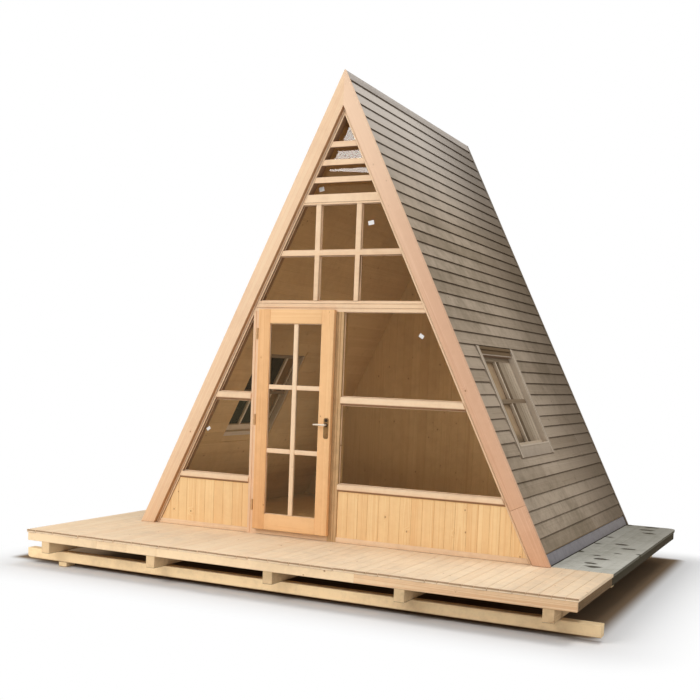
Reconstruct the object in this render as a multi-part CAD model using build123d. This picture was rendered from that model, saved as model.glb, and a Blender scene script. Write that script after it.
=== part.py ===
"""A-frame cabin: a timber A-frame with a glazed front, standing on a raised timber deck.

Millimetres. X runs across the front (right positive), Y runs from the front to the back and
Z runs up. The origin is the middle of the footprint, at ground level. The cabin is drawn with
its ridge line at X = 0 and set beside the deck's middle when it is saved.
"""
import math
import os

from build123d import *

# ---------------------------------------------------------------- driving dimensions
# Under the deck, from the ground up
packer_height = 42
packer_width = 70
packer_length = 60
packer_inset = 335
corner_packer_width = 90
corner_packer_length = 120
corner_packer_inset = 272
ground_beam_height = 93
ground_beam_depth = 95
ground_beam_overhang = 132
ground_beam_inset = 170
inner_beam_setback = 200
joist_height = 102
joist_width = 86
joist_count = 5
joist_inset = 209
bearer_height = 73
bearer_width = 45
bearer_count = 7

# Deck
deck_width = 4966
terrace_depth = 1144
deck_board_thickness = 25
rim_thickness = 30
board_overhang = 8

# A-frame outline, measured on the outside of the cladding; the ridge line's offset is from
# the deck's middle
ridge_offset = -24
half_base = 2016
ridge_height = 4110
cabin_length = 3150
cladding_thickness = 20
roof_thickness = 115
flashing_height = 110
flashing_thickness = 8
ridge_cap_width = 85

# Bargeboards
bargeboard_thickness = 40
bargeboard_width = 135
bargeboard_splice_up = 540

# Front wall frame; heights are above the deck, sideways places are from the ridge line
wall_depth = 90
front_rafter_width = 32
main_beam_height = 93
collar_beam_height = 88
collar_beam_drop = 1050
mid_rail_bottom = 1221
mid_rail_top = 1295
sill_rail_bottom = 456
sill_rail_top = 521
sole_plate_height = 46
rail_proud = 12
panel_setback = 10
grid_bar = 50
grid_depth = 60
grid_bar_left = -222
grid_bar_right = 172
gable_rail_height = 52
gable_pane_heights = (97, 97, 102)
glass_setback = 32
gable_glass_setback = 82
glass_thickness = 5

# Door
door_width = 760
door_height = 2000
door_thickness = 45
door_left = -765
door_bottom = 51
door_gap = 5
door_overlap = 15
jamb_width = 96
post_width = 87
stile_width = 120
top_rail_height = 128
bottom_rail_height = 146

# Hinges
hinge_count = 3
hinge_end_distance = 220
hinge_height = 100
knuckle_radius = 8
pin_radius = 4
pin_clearance = 0.1
knuckle_gap = 1
hinge_plate = 3
hinge_leaf_width = 36
hinge_standoff = 1

# Handle, on both faces of the leaf
handle_height = 1010
handle_edge_distance = 39
handle_plate_width = 42
handle_plate_height = 186
handle_plate_thickness = 4
lever_rise = 30
lever_neck_radius = 9
lever_reach = 48
lever_length = 112
lever_thickness = 14
lever_height = 20
cylinder_drop = 50
cylinder_radius = 11
cylinder_reach = 8

# Roof windows, measured up the slope and back from the front wall
casing_bottom = 930
casing_top = 1990
casing_front = 430
casing_back = 1490
casing_width = 70
casing_height = 38
window_glass_thickness = 6
window_glass_depth = 75

# Inside
floor_thickness = 30

# ---------------------------------------------------------------- derived places
slope_angle = math.atan2(ridge_height, half_base)
slope_length = math.hypot(half_base, ridge_height)
deck_length = terrace_depth + cabin_length + bargeboard_thickness
deck_front = -deck_length / 2
deck_back = deck_length / 2
wall_front = deck_front + terrace_depth
wall_back = wall_front + cabin_length
beam_bottom = packer_height
joist_bottom = beam_bottom + ground_beam_height
bearer_bottom = joist_bottom + joist_height
board_bottom = bearer_bottom + bearer_height
deck_top = board_bottom + deck_board_thickness
roof_inner = cladding_thickness + roof_thickness
frame_inner = bargeboard_width + front_rafter_width
door_right = door_left + door_width
door_top = door_bottom + door_height
door_back = wall_front - door_gap
door_front = door_back - door_thickness
opening_left = door_left + door_overlap
opening_right = door_right - door_overlap
opening_bottom = door_bottom + door_overlap
main_beam_bottom = door_top - door_overlap
main_beam_top = main_beam_bottom + main_beam_height
collar_beam_top = ridge_height - collar_beam_drop
collar_beam_bottom = collar_beam_top - collar_beam_height
beyond = 10 * half_base


# ---------------------------------------------------------------- helpers
def block(x_range, y_range, z_range):
    """An upright box between the given lowest and highest places."""
    size = [high - low for low, high in (x_range, y_range, z_range)]
    middle = [(high + low) / 2 for low, high in (x_range, y_range, z_range)]
    return Pos(*middle) * Box(*size)


def across(points, y_range):
    """An outline of (x, height above the deck), made solid from the front to the back y."""
    corners = [(x, y_range[0], deck_top + z) for x, z in points]
    outline = make_face(Polyline(*corners, close=True))
    return extrude(outline, amount=y_range[1] - y_range[0], dir=(0, 1, 0))


def slope_point(up, inward):
    """A place on the right-hand slope: up from the deck along it, and inward from its face."""
    x = half_base - up * math.cos(slope_angle) - inward * math.sin(slope_angle)
    z = up * math.sin(slope_angle) - inward * math.cos(slope_angle)
    return x, z


def slope_x(height, inward):
    """How far the right-hand slope is from the ridge line at a height above the deck."""
    return half_base * (1 - height / ridge_height) - inward / math.sin(slope_angle)


def apex(inward):
    """Height above the deck at which both slopes meet on the ridge line."""
    return ridge_height - inward / math.cos(slope_angle)


def slope_band(outer, inner, y_range):
    """The right-hand slab between two depths below the slope, up to the ridge line."""
    points = [
        (slope_x(0, outer), 0),
        (0, apex(outer)),
        (0, apex(inner)),
        (slope_x(0, inner), 0),
    ]
    return across(points, y_range)


def slope_block(up_range, inward_range, y_range):
    """A box that lies along the right-hand slope."""
    low_up, high_up = up_range
    outer, inner = inward_range
    points = [
        slope_point(low_up, outer),
        slope_point(high_up, outer),
        slope_point(high_up, inner),
        slope_point(low_up, inner),
    ]
    return across(points, y_range)


def under_slopes(inward, y_range):
    """The whole triangle that is left inside both slopes at a depth below them."""
    points = [(-slope_x(0, inward), 0), (slope_x(0, inward), 0), (0, apex(inward))]
    return across(points, y_range)


def mirrored(shape):
    """The same piece on the other side of the ridge line."""
    return mirror(shape, about=Plane.YZ)


def front_member(x_range, height_range, y_range):
    """A piece of the front wall, trimmed to the inside of the front rafters."""
    heights = [deck_top + height for height in height_range]
    return block(x_range, y_range, heights) & under_slopes(frame_inner, y_range)


def evenly(first, last, count):
    """Places from the first to the last with equal steps."""
    return [first + (last - first) * index / (count - 1) for index in range(count)]


def save(name, shape):
    """Write one node, with all its solids, to its own STEP file."""
    export_step(Compound(children=list(shape.solids())), f"parts/{name}.step")


def save_cabin(name, shape):
    """Write one node of the cabin, set at its place on the deck."""
    save(name, shape.moved(Location((ridge_offset, 0, 0))))


# ---------------------------------------------------------------- under the deck
rim_edge = deck_width / 2 - board_overhang
rim_front = deck_front + board_overhang
rim_back = deck_back - board_overhang
joist_places = evenly(-deck_width / 2 + joist_inset, deck_width / 2 - joist_inset, joist_count)
packer_place = deck_width / 2 - packer_inset
front_beam_reach = deck_width / 2 + ground_beam_overhang
inner_beam_reach = deck_width / 2 - inner_beam_setback
beam_places = evenly(
    deck_front + ground_beam_inset + ground_beam_depth / 2,
    deck_back - ground_beam_inset - ground_beam_depth / 2,
    3,
)


def packer(x, y, width, length):
    """One block under a ground beam."""
    return block(
        (x - width / 2, x + width / 2),
        (y - length / 2, y + length / 2),
        (0, packer_height),
    )


def packers():
    """Blocks that level the ground beams: one at the front left, three under the others."""
    x = corner_packer_inset - deck_width / 2
    y = beam_places[0] + (corner_packer_length - ground_beam_depth) / 2
    blocks = [packer(x, y, corner_packer_width, corner_packer_length)]
    for y in beam_places[1:]:
        for x in (-packer_place, 0, packer_place):
            blocks.append(packer(x, y, packer_width, packer_length))
    return Compound(children=blocks)


def ground_beam(y, reach):
    """A square beam across the whole width, as far as its reach on both sides."""
    return block(
        (-reach, reach),
        (y - ground_beam_depth / 2, y + ground_beam_depth / 2),
        (beam_bottom, joist_bottom),
    )


def joists():
    """Joists from front to back, whose ends show under the rim."""
    return Compound(children=[
        block(
            (x - joist_width / 2, x + joist_width / 2),
            (rim_front, rim_back),
            (joist_bottom, bearer_bottom),
        )
        for x in joist_places
    ])


def bearers():
    """Bearers across the joists, between the side rims, which carry the deck boards."""
    inner_edge = rim_edge - rim_thickness
    places = evenly(rim_front, rim_back, bearer_count + 2)[1:-1]
    return Compound(children=[
        block(
            (-inner_edge, inner_edge),
            (y - bearer_width / 2, y + bearer_width / 2),
            (bearer_bottom, board_bottom),
        )
        for y in places
    ])


def end_rims():
    """The rims along the deck's front and back edges."""
    heights = (bearer_bottom, board_bottom)
    return Compound(children=[
        block((-rim_edge, rim_edge), (rim_front, rim_front + rim_thickness), heights),
        block((-rim_edge, rim_edge), (rim_back - rim_thickness, rim_back), heights),
    ])


def side_rims():
    """The rims along the deck's sides, between the end rims."""
    right = block(
        (rim_edge - rim_thickness, rim_edge),
        (rim_front + rim_thickness, rim_back - rim_thickness),
        (bearer_bottom, board_bottom),
    )
    return Compound(children=[right, mirrored(right)])


os.makedirs("parts", exist_ok=True)
save("packers", packers())
save("ground_beam_front", ground_beam(beam_places[0], front_beam_reach))
save("ground_beam_middle", ground_beam(beam_places[1], inner_beam_reach))
save("ground_beam_back", ground_beam(beam_places[2], inner_beam_reach))
save("joists", joists())
save("bearers", bearers())
save("end_rims", end_rims())
save("side_rims", side_rims())
save("deck_boards", block(
    (-deck_width / 2, deck_width / 2),
    (deck_front, deck_back),
    (board_bottom, deck_top),
))

# ---------------------------------------------------------------- roof
roof_span = (wall_front, wall_back)
window_hole_up = (casing_bottom + casing_width, casing_top - casing_width)
window_hole_y = (wall_front + casing_front + casing_width, wall_front + casing_back - casing_width)
window_hole = slope_block(window_hole_up, (-roof_inner, 2 * roof_inner), window_hole_y)
casing_outline = slope_block(
    (casing_bottom, casing_top),
    (cladding_thickness - casing_height, cladding_thickness),
    (wall_front + casing_front, wall_front + casing_back),
)


def roof_panel():
    """Rafters, boarding and lining as one slab, cut through for the roof window."""
    slab = slope_band(cladding_thickness, roof_inner, roof_span)
    return slab - window_hole


def cladding():
    """The lapped boards as one skin from the flashing to the ridge cap, round the casing."""
    skin = slope_block(
        (flashing_height, slope_length - ridge_cap_width),
        (0, cladding_thickness),
        roof_span,
    )
    return skin - casing_outline


def flashing():
    """A metal strip along the foot of the slope."""
    strip = slope_block(
        (-roof_inner, flashing_height),
        (cladding_thickness - flashing_thickness, cladding_thickness),
        roof_span,
    )
    return strip & block((0, beyond), roof_span, (deck_top, deck_top + beyond))


def ridge_cap():
    """Two boards that meet over the ridge and finish the cladding."""
    right = slope_band(0, cladding_thickness, roof_span)
    right = right & slope_block(
        (slope_length - ridge_cap_width, slope_length + ridge_cap_width),
        (-roof_inner, cladding_thickness),
        roof_span,
    )
    return right + mirrored(right)


def window_casing():
    """Four boards round the roof window, lying on the roof panel."""
    return casing_outline - window_hole


def window_glass():
    """The glass of the roof window, set into its hole."""
    return slope_block(
        window_hole_up,
        (window_glass_depth, window_glass_depth + window_glass_thickness),
        window_hole_y,
    )


def pair(right):
    """A piece and its mirror image as two separate solids."""
    return Compound(children=[right, mirrored(right)])


save_cabin("roof_right", roof_panel())
save_cabin("roof_left", mirrored(roof_panel()))
save_cabin("cladding_right", cladding())
save_cabin("cladding_left", mirrored(cladding()))
save_cabin("flashings", pair(flashing()))
save_cabin("ridge_cap", ridge_cap())
save_cabin("window_casings", pair(window_casing()))
save_cabin("window_glass", pair(window_glass()))

# ---------------------------------------------------------------- bargeboards
front_boards = (wall_front - bargeboard_thickness, wall_front)
back_boards = (wall_back, wall_back + bargeboard_thickness)


def bargeboard(y_range):
    """A board along the edge of the right-hand slope, from the deck up to the ridge line."""
    return slope_band(0, bargeboard_width, y_range)


def bargeboard_part(up_range, y_range):
    """The length of a bargeboard between two square cuts."""
    return bargeboard(y_range) & slope_block(up_range, (-roof_inner, 2 * roof_inner), y_range)


save_cabin("bargeboard_front_left", mirrored(bargeboard(front_boards)))
save_cabin("bargeboard_front_right", bargeboard_part((bargeboard_splice_up, beyond), front_boards))
save_cabin("bargeboard_foot_right", bargeboard_part((-roof_inner, bargeboard_splice_up), front_boards))
save_cabin("bargeboard_back_left", mirrored(bargeboard(back_boards)))
save_cabin("bargeboard_back_right", bargeboard(back_boards))

# ---------------------------------------------------------------- front wall
wall_span = (wall_front, wall_front + wall_depth)
rail_span = (wall_front - rail_proud, wall_front + wall_depth)
grid_span = (wall_front, wall_front + grid_depth)
glass_span = (wall_front + glass_setback, wall_front + glass_setback + glass_thickness)
gable_glass_front = wall_front + gable_glass_setback
gable_rail_span = (wall_front, gable_glass_front)
gable_glass_span = (gable_glass_front, gable_glass_front + glass_thickness)
side_left = opening_left - jamb_width
side_right = opening_right + post_width


def both_sides(height_range, y_range):
    """A left and a right piece that reach from the rafters to the jamb and to the post."""
    left = front_member((-beyond, side_left), height_range, y_range)
    right = front_member((side_right, beyond), height_range, y_range)
    return Compound(children=[left, right])


def window_grid():
    """The bars that divide the upper window: one across its middle and two upright."""
    middle = (main_beam_top + collar_beam_bottom) / 2
    rail = (middle - grid_bar / 2, middle + grid_bar / 2)
    uprights = (main_beam_top, collar_beam_bottom)
    grid = front_member((-beyond, beyond), rail, grid_span)
    for x in (grid_bar_left, grid_bar_right):
        grid = grid + front_member((x - grid_bar / 2, x + grid_bar / 2), uprights, grid_span)
    return grid


def gable_rails():
    """The rails across the front of the pointed window's one deep sheet of glass."""
    rails = []
    below = collar_beam_top
    for pane_height in gable_pane_heights:
        heights = (below + pane_height, below + pane_height + gable_rail_height)
        rails.append(front_member((-beyond, beyond), heights, gable_rail_span))
        below = heights[1]
    return Compound(children=rails)


front_rafter = slope_band(bargeboard_width, frame_inner, wall_span)
jamb = front_member((side_left, opening_left), (0, main_beam_bottom), wall_span)
post = front_member((opening_right, side_right), (0, main_beam_bottom), wall_span)
main_beam = front_member((-beyond, beyond), (main_beam_bottom, main_beam_top), wall_span)
collar_beam = front_member((-beyond, beyond), (collar_beam_bottom, collar_beam_top), wall_span)
mid_rails = both_sides((mid_rail_bottom, mid_rail_top), rail_span)
sill_rails = both_sides((sill_rail_bottom, sill_rail_top), rail_span)
sole_plates = both_sides((0, sole_plate_height), wall_span)
threshold = front_member((opening_left, opening_right), (0, opening_bottom), wall_span)
panel_span = (wall_front + panel_setback, wall_front + wall_depth)
panel_heights = (sole_plate_height, sill_rail_bottom)
panel_left = front_member((-beyond, side_left), panel_heights, panel_span)
panel_right = front_member((side_right, beyond), panel_heights, panel_span)


gable_heights = (collar_beam_top, ridge_height)
glass_gable = front_member((-beyond, beyond), gable_heights, gable_glass_span)
upper_heights = (main_beam_top, collar_beam_bottom)
glass_upper = front_member((-beyond, beyond), upper_heights, glass_span) - window_grid()
glass_sides = Compound(children=[
    *both_sides((sill_rail_top, mid_rail_bottom), glass_span).solids(),
    *both_sides((mid_rail_top, main_beam_bottom), glass_span).solids(),
])

save_cabin("front_rafter_right", front_rafter)
save_cabin("front_rafter_left", mirrored(front_rafter))
save_cabin("door_jamb", jamb)
save_cabin("door_post", post)
save_cabin("main_beam", main_beam)
save_cabin("collar_beam", collar_beam)
save_cabin("mid_rails", mid_rails)
save_cabin("sill_rails", sill_rails)
save_cabin("sole_plates", sole_plates)
save_cabin("threshold", threshold)
save_cabin("front_panel_left", panel_left)
save_cabin("front_panel_right", panel_right)
save_cabin("window_grid", window_grid())
save_cabin("gable_rails", gable_rails())
save_cabin("glass_gable", glass_gable)
save_cabin("glass_upper", glass_upper)
save_cabin("glass_sides", glass_sides)

# ---------------------------------------------------------------- back wall and floor
inside_span = (wall_front + wall_depth, wall_back - wall_depth)
floor_below = block((-beyond, beyond), inside_span, (deck_top, deck_top + floor_thickness))
save_cabin("back_wall", under_slopes(roof_inner, (wall_back - wall_depth, wall_back)))
save_cabin("cabin_floor", under_slopes(roof_inner, inside_span) & floor_below)

# ---------------------------------------------------------------- door
leaf_span = (door_front, door_back)
leaf_bottom = deck_top + door_bottom
leaf_top = deck_top + door_top
glass_left = door_left + stile_width
glass_right = door_right - stile_width
glass_bottom = leaf_bottom + bottom_rail_height
glass_top = leaf_top - top_rail_height
leaf_middle = (door_front + door_back) / 2


def door_stiles():
    """The two uprights of the leaf."""
    heights = (leaf_bottom, leaf_top)
    return Compound(children=[
        block((door_left, glass_left), leaf_span, heights),
        block((glass_right, door_right), leaf_span, heights),
    ])


def door_rails():
    """The top and bottom rails of the leaf, between the stiles."""
    return Compound(children=[
        block((glass_left, glass_right), leaf_span, (leaf_bottom, glass_bottom)),
        block((glass_left, glass_right), leaf_span, (glass_top, leaf_top)),
    ])


def door_glass():
    """One sheet in the middle of the leaf's thickness."""
    return block(
        (glass_left, glass_right),
        (leaf_middle - glass_thickness / 2, leaf_middle + glass_thickness / 2),
        (glass_bottom, glass_top),
    )


def handle(face, outward):
    """A long plate with a lever and a lock cylinder on one face of the leaf."""
    x = door_right - handle_edge_distance
    middle = deck_top + handle_height
    lever_z = middle + lever_rise
    reach = face + outward * lever_reach
    neck_middle = (face + reach) / 2
    cylinder_end = face + outward * (handle_plate_thickness + cylinder_reach)
    plate = block(
        (x - handle_plate_width / 2, x + handle_plate_width / 2),
        sorted((face, face + outward * handle_plate_thickness)),
        (middle - handle_plate_height / 2, middle + handle_plate_height / 2),
    )
    neck = Pos(x, neck_middle, lever_z) * Rot(90, 0, 0) * Cylinder(lever_neck_radius, lever_reach)
    lever = block(
        (x - lever_length, x + lever_neck_radius),
        sorted((reach, reach - outward * lever_thickness)),
        (lever_z - lever_height / 2, lever_z + lever_height / 2),
    )
    cylinder_middle = (face + cylinder_end) / 2
    cylinder_length = abs(cylinder_end - face)
    cylinder_place = Pos(x, cylinder_middle, middle - cylinder_drop) * Rot(90, 0, 0)
    lock = cylinder_place * Cylinder(cylinder_radius, cylinder_length)
    return plate + neck + lever + lock


door_handle = Compound(children=[handle(door_front, -1), handle(door_back, 1)])

# ---------------------------------------------------------------- hinges
pin_x = door_left - knuckle_radius - hinge_standoff
pin_y = door_front - knuckle_radius / 4
knuckle_height = (hinge_height - knuckle_gap) / 2
hinge_places = evenly(leaf_bottom + hinge_end_distance, leaf_top - hinge_end_distance, hinge_count)


def upright_cylinder(radius, low, high):
    """A cylinder on the hinge pin's line."""
    return Pos(pin_x, pin_y, (low + high) / 2) * Cylinder(radius, high - low)


def frame_hinge(middle):
    """The fixed half: a cranked plate on the jamb, its knuckle and the pin."""
    low = middle - hinge_height / 2
    high = low + knuckle_height
    arm_left = pin_x - knuckle_radius
    knuckle = upright_cylinder(knuckle_radius, low, high)
    pin = upright_cylinder(pin_radius, low, low + hinge_height)
    arm = block((arm_left, arm_left + hinge_plate), (pin_y, wall_front), (low, high))
    plate = block(
        (arm_left - hinge_leaf_width, arm_left + hinge_plate),
        (wall_front - hinge_plate, wall_front),
        (low, high),
    )
    return knuckle + pin + arm + plate


def door_hinge(middle):
    """The moving half: a plate on the leaf's edge and the knuckle that sits on the pin."""
    high = middle + hinge_height / 2
    low = high - knuckle_height
    knuckle = upright_cylinder(knuckle_radius, low, high)
    plate = block((door_left - hinge_plate, door_left), (pin_y, pin_y + hinge_leaf_width), (low, high))
    bore = upright_cylinder(pin_radius + pin_clearance, low - hinge_height, high + hinge_height)
    return knuckle + plate - bore


save_cabin("door_stiles", door_stiles())
save_cabin("door_rails", door_rails())
save_cabin("door_glass", door_glass())
save_cabin("door_handle", door_handle)
save_cabin("hinges_frame", Compound(children=[frame_hinge(place) for place in hinge_places]))
save_cabin("hinges_door", Compound(children=[door_hinge(place) for place in hinge_places]))
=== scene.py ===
"""Looks of the A-frame cabin on its timber deck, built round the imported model.

Metres. X runs across the front, Y from the front to the back, Z up.
"""
import math
import random

import bmesh
import bpy
from mathutils import Matrix, Vector

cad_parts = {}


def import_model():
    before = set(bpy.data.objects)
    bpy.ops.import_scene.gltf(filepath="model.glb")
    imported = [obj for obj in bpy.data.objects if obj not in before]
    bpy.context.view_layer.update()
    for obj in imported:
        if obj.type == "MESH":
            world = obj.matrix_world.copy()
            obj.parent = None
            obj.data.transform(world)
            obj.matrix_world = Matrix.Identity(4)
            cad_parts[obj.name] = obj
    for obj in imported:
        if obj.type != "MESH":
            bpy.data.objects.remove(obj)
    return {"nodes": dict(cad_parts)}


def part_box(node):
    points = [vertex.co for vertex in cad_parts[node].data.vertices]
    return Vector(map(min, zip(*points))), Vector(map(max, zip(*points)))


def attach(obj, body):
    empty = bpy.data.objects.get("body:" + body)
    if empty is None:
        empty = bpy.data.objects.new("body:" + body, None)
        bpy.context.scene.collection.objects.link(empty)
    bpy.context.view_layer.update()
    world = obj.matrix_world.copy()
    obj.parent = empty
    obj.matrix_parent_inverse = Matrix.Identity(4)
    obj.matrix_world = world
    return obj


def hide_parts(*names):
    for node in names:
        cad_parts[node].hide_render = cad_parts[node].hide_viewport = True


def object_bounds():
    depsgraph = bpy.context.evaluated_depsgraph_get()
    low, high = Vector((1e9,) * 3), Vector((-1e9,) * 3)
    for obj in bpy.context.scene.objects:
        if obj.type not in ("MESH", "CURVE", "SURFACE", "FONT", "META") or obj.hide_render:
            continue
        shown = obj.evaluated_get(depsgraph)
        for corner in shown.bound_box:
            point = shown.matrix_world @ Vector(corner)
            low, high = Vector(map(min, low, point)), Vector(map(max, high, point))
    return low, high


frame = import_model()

cad_low, cad_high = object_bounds()
NODES = frame["nodes"]

# ---- places read from the model
DECK_LOW, DECK_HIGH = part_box("deck_boards")
DECK = DECK_HIGH.z
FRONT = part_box("main_beam")[0].y
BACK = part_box("back_wall")[1].y
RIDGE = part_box("bargeboard_front_left")[1].z
CENTRE = (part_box("ridge_cap")[0].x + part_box("ridge_cap")[1].x) / 2
HALF_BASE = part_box("bargeboard_back_right")[1].x - CENTRE
SLOPE = math.atan2(RIDGE - DECK, HALF_BASE)
SLOPE_LENGTH = math.hypot(HALF_BASE, RIDGE - DECK)
SIDES = (("left", -1), ("right", 1))

# across the thickness of a roof slope: depths below the face of its boards, and places out
BARGE_DEPTH = 0.135
FRAME_DEPTH = BARGE_DEPTH + 0.032
SHEATHING = -0.020
LINING = -0.135
MEMBER = 0.090  # how deep the members of the front frame are

# the roof windows: up the slope from the deck, and back from the front
CASING_UP = (0.930, 1.990)
CASING_Y = (FRONT + 0.430, FRONT + 1.490)
CASING_WIDTH = 0.070
SILL_UP = 1.045

# directions
X, Y, Z = Vector((1, 0, 0)), Vector((0, 1, 0)), Vector((0, 0, 1))
UP = Vector((-math.cos(SLOPE), 0, math.sin(SLOPE)))
UP_LEFT = Vector((-UP.x, 0, UP.z))
OUT = Vector((math.sin(SLOPE), 0, math.cos(SLOPE)))

TINY = 1e-5  # points closer than this are one point
NEAR = 0.001  # how close to a face the edges lie that count as its own
SHARP = 0.3  # edges with a turn above this, in radians, can be rounded


# ---- shapes
def on_slope(side, up, y, out=0.0):
    """A place on a roof slope: up from the deck, back from the front, out from the cladding."""
    place = Vector((HALF_BASE, y, DECK)) + UP * up + OUT * out
    return Vector((CENTRE + place.x * side, place.y, place.z))


def drawn_out(bm, faces, along):
    """Gives flat faces a thickness along a direction."""
    made = bmesh.ops.extrude_face_region(bm, geom=faces)["geom"]
    ends = [item for item in made if isinstance(item, bmesh.types.BMVert)]
    bmesh.ops.translate(bm, verts=ends, vec=along)
    bmesh.ops.recalc_face_normals(bm, faces=bm.faces[:])
    return bm


def prism(corners, along):
    """A bar with this outline, drawn out along a direction."""
    bm = bmesh.new()
    return drawn_out(bm, [bm.faces.new([bm.verts.new(corner) for corner in corners])], along)


def bar(x_range, y_range, z_range):
    """An upright bar between the given places."""
    ranges = (x_range, y_range, z_range)
    middle = Vector([(low + high) / 2 for low, high in ranges])
    size = Matrix.Diagonal([high - low for low, high in ranges] + [1.0])
    bm = bmesh.new()
    bmesh.ops.create_cube(bm, size=1.0, matrix=Matrix.Translation(middle) @ size)
    return bm


def slope_prism(side, y_range, *places):
    """A bar on a roof slope, with the outline given by its places up and out."""
    outline = [on_slope(side, up, y_range[0], out) for up, out in places]
    return prism(outline, (0, y_range[1] - y_range[0], 0))


def slope_bar(side, up_range, y_range, out_range):
    """A flat bar that lies on a roof slope."""
    (foot, head), (inner, outer) = up_range, out_range
    return slope_prism(side, y_range, (foot, inner), (head, inner), (head, outer), (foot, outer))


def slope_band(side, depths, y_range):
    """A board along a roof slope's edge, between two depths, up to the ridge line."""
    feet = [(CENTRE + side * (HALF_BASE - depth / math.sin(SLOPE)), y_range[0], DECK)
            for depth in depths]
    heads = [(CENTRE, y_range[0], RIDGE - depth / math.cos(SLOPE)) for depth in depths]
    return prism([feet[0], *heads, feet[1]], (0, y_range[1] - y_range[0], 0))


def rounded(bm, width, segments=2, choose=None):
    """Rounds the sharp edges, or only those that are chosen by their middle and direction."""
    edges = []
    for edge in bm.edges:
        if edge.is_manifold and edge.calc_face_angle(0) > SHARP:
            first, second = (vert.co for vert in edge.verts)
            if choose is None or choose((first + second) / 2, (second - first).normalized()):
                edges.append(edge)
    bmesh.ops.bevel(
        bm, geom=edges, offset=width, segments=segments, profile=0.5,
        affect="EDGES", material=-1, clamp_overlap=True,
    )
    return bm


def along_axis(axis):
    """Chooses the edges that run along an axis, or nearly so."""
    return lambda middle, way: abs(way.dot(axis)) > 0.9


def before(y):
    """Chooses the edges in front of a place."""
    return lambda middle, way: middle.y < y


def cut(bm, place, outward):
    """Cuts off what lies beyond a plane and closes the cut."""
    everything = bm.verts[:] + bm.edges[:] + bm.faces[:]
    result = bmesh.ops.bisect_plane(
        bm, geom=everything, dist=TINY, plane_co=place, plane_no=outward, clear_outer=True
    )
    edges = [item for item in result["geom_cut"] if isinstance(item, bmesh.types.BMEdge)]
    if edges:
        bmesh.ops.edgeloop_fill(bm, edges=edges)
    return bm


def under_roof(bm, depth=FRAME_DEPTH, sides=(-1, 1)):
    """Trims a piece to the inside of the rafters, or to another depth of the slopes."""
    for side in sides:
        cut(bm, on_slope(side, 0, 0, -depth), Vector((OUT.x * side, 0, OUT.z)))
    return bm


def marked(bm, value):
    """Gives every point a mark, which a material turns into wear and painted shade."""
    mark = bm.verts.layers.float.new("mark")
    for vert in bm.verts:
        vert[mark] = value(vert.co)
    return bm


def gather(parts):
    """Puts several loose shapes into one, with their marks."""
    whole = bmesh.new()
    mark = whole.verts.layers.float.new("mark")
    for part in parts:
        own = part.verts.layers.float.get("mark")
        matched = {}
        for vert in part.verts:
            matched[vert] = whole.verts.new(vert.co)
            matched[vert][mark] = vert[own] if own else 0.0
        for face in part.faces:
            whole.faces.new([matched[vert] for vert in face.verts])
        part.free()
    return whole


def copied(node):
    """A merged copy of a node's mesh, with flat faces made whole."""
    bm = bmesh.new()
    bm.from_mesh(NODES[node].data)
    bmesh.ops.remove_doubles(bm, verts=bm.verts[:], dist=TINY)
    bmesh.ops.dissolve_limit(bm, angle_limit=0.01, verts=bm.verts[:], edges=bm.edges[:])
    return bm


def islands(bm):
    """The loose boards of a shape, each as its list of points."""
    bm.verts.ensure_lookup_table()
    seen = set()
    for start in bm.verts:
        if start in seen:
            continue
        seen.add(start)
        board = [start]
        for vert in board:
            for edge in vert.link_edges:
                other = edge.other_vert(vert)
                if other not in seen:
                    seen.add(other)
                    board.append(other)
        yield board


def add_grain(bm, seed, tone=None, along=None):
    """Gives every board its own grain, which runs along it, and its own tone."""
    grain = bm.verts.layers.float_vector.new("grain")
    tones = bm.verts.layers.float.new("tone")
    draw = random.Random(seed)
    for board in islands(bm):
        def ends(axis):
            places = [vert.co.dot(axis) for vert in board]
            return min(places), max(places)

        def length(axis):
            low, high = ends(axis)
            return high - low

        run = along or max((X, Y, Z, UP, UP_LEFT), key=length)
        wide = max((Z, UP, UP_LEFT, X), key=length) if abs(run.y) > 0.5 else Y
        thick = run.cross(wide)
        if length(wide) < length(thick):
            wide, thick = thick, wide
        axes = (run, wide, thick)
        middle = [sum(ends(axis)) / 2 for axis in axes]
        shift = (
            draw.uniform(0, 40),
            draw.uniform(-0.05, 0.05),
            draw.choice((-1, 1)) * draw.uniform(0.02, 0.10),
        )
        value = draw.random()
        if tone:
            centre = sum((vert.co for vert in board), Vector()) / len(board)
            value = tone(centre, value)
        for vert in board:
            vert[grain] = [vert.co.dot(axis) - place + offset
                           for axis, place, offset in zip(axes, middle, shift)]
            vert[tones] = value
    return bm


def placed(name, data):
    """A new object in the scene."""
    made = bpy.data.objects.new(name, data)
    bpy.context.scene.collection.objects.link(made)
    return made


def meshed(name, bm, material):
    """A new mesh with its material."""
    mesh = bpy.data.meshes.new(name)
    bm.to_mesh(mesh)
    bm.free()
    mesh.materials.append(material)
    return mesh


def piece(name, bm, material, body="cabin", replaced=(), smooth=35):
    """A finished piece: its mesh, its material, and the body it moves with."""
    mesh = meshed(name, bm, material)
    mesh.shade_smooth()
    mesh.set_sharp_from_angle(angle=math.radians(smooth))
    made = placed(name, mesh)
    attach(made, body)
    if replaced:
        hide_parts(*replaced)


def boarded(node, ending, bm, seed, material, tone=None, along=None, body="cabin"):
    """A piece of timber in the place of a node, whose name it carries on."""
    grained = add_grain(bm, seed, tone, along)
    piece(f"{node}_{ending}", grained, material, body, (node,))


def refinished(material, *nodes):
    """Nodes that keep their shape and get a new material."""
    for node in nodes:
        NODES[node].data.materials.clear()
        NODES[node].data.materials.append(material)


# ---- shader helpers
def shade(red, green, blue):
    """A colour given as 0 to 255 on a screen, as the shader wants it."""
    def linear(value):
        value /= 255
        return value / 12.92 if value <= 0.04045 else ((value + 0.055) / 1.055) ** 2.4
    return (linear(red), linear(green), linear(blue), 1.0)


WHITE = (1, 1, 1, 1)


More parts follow.
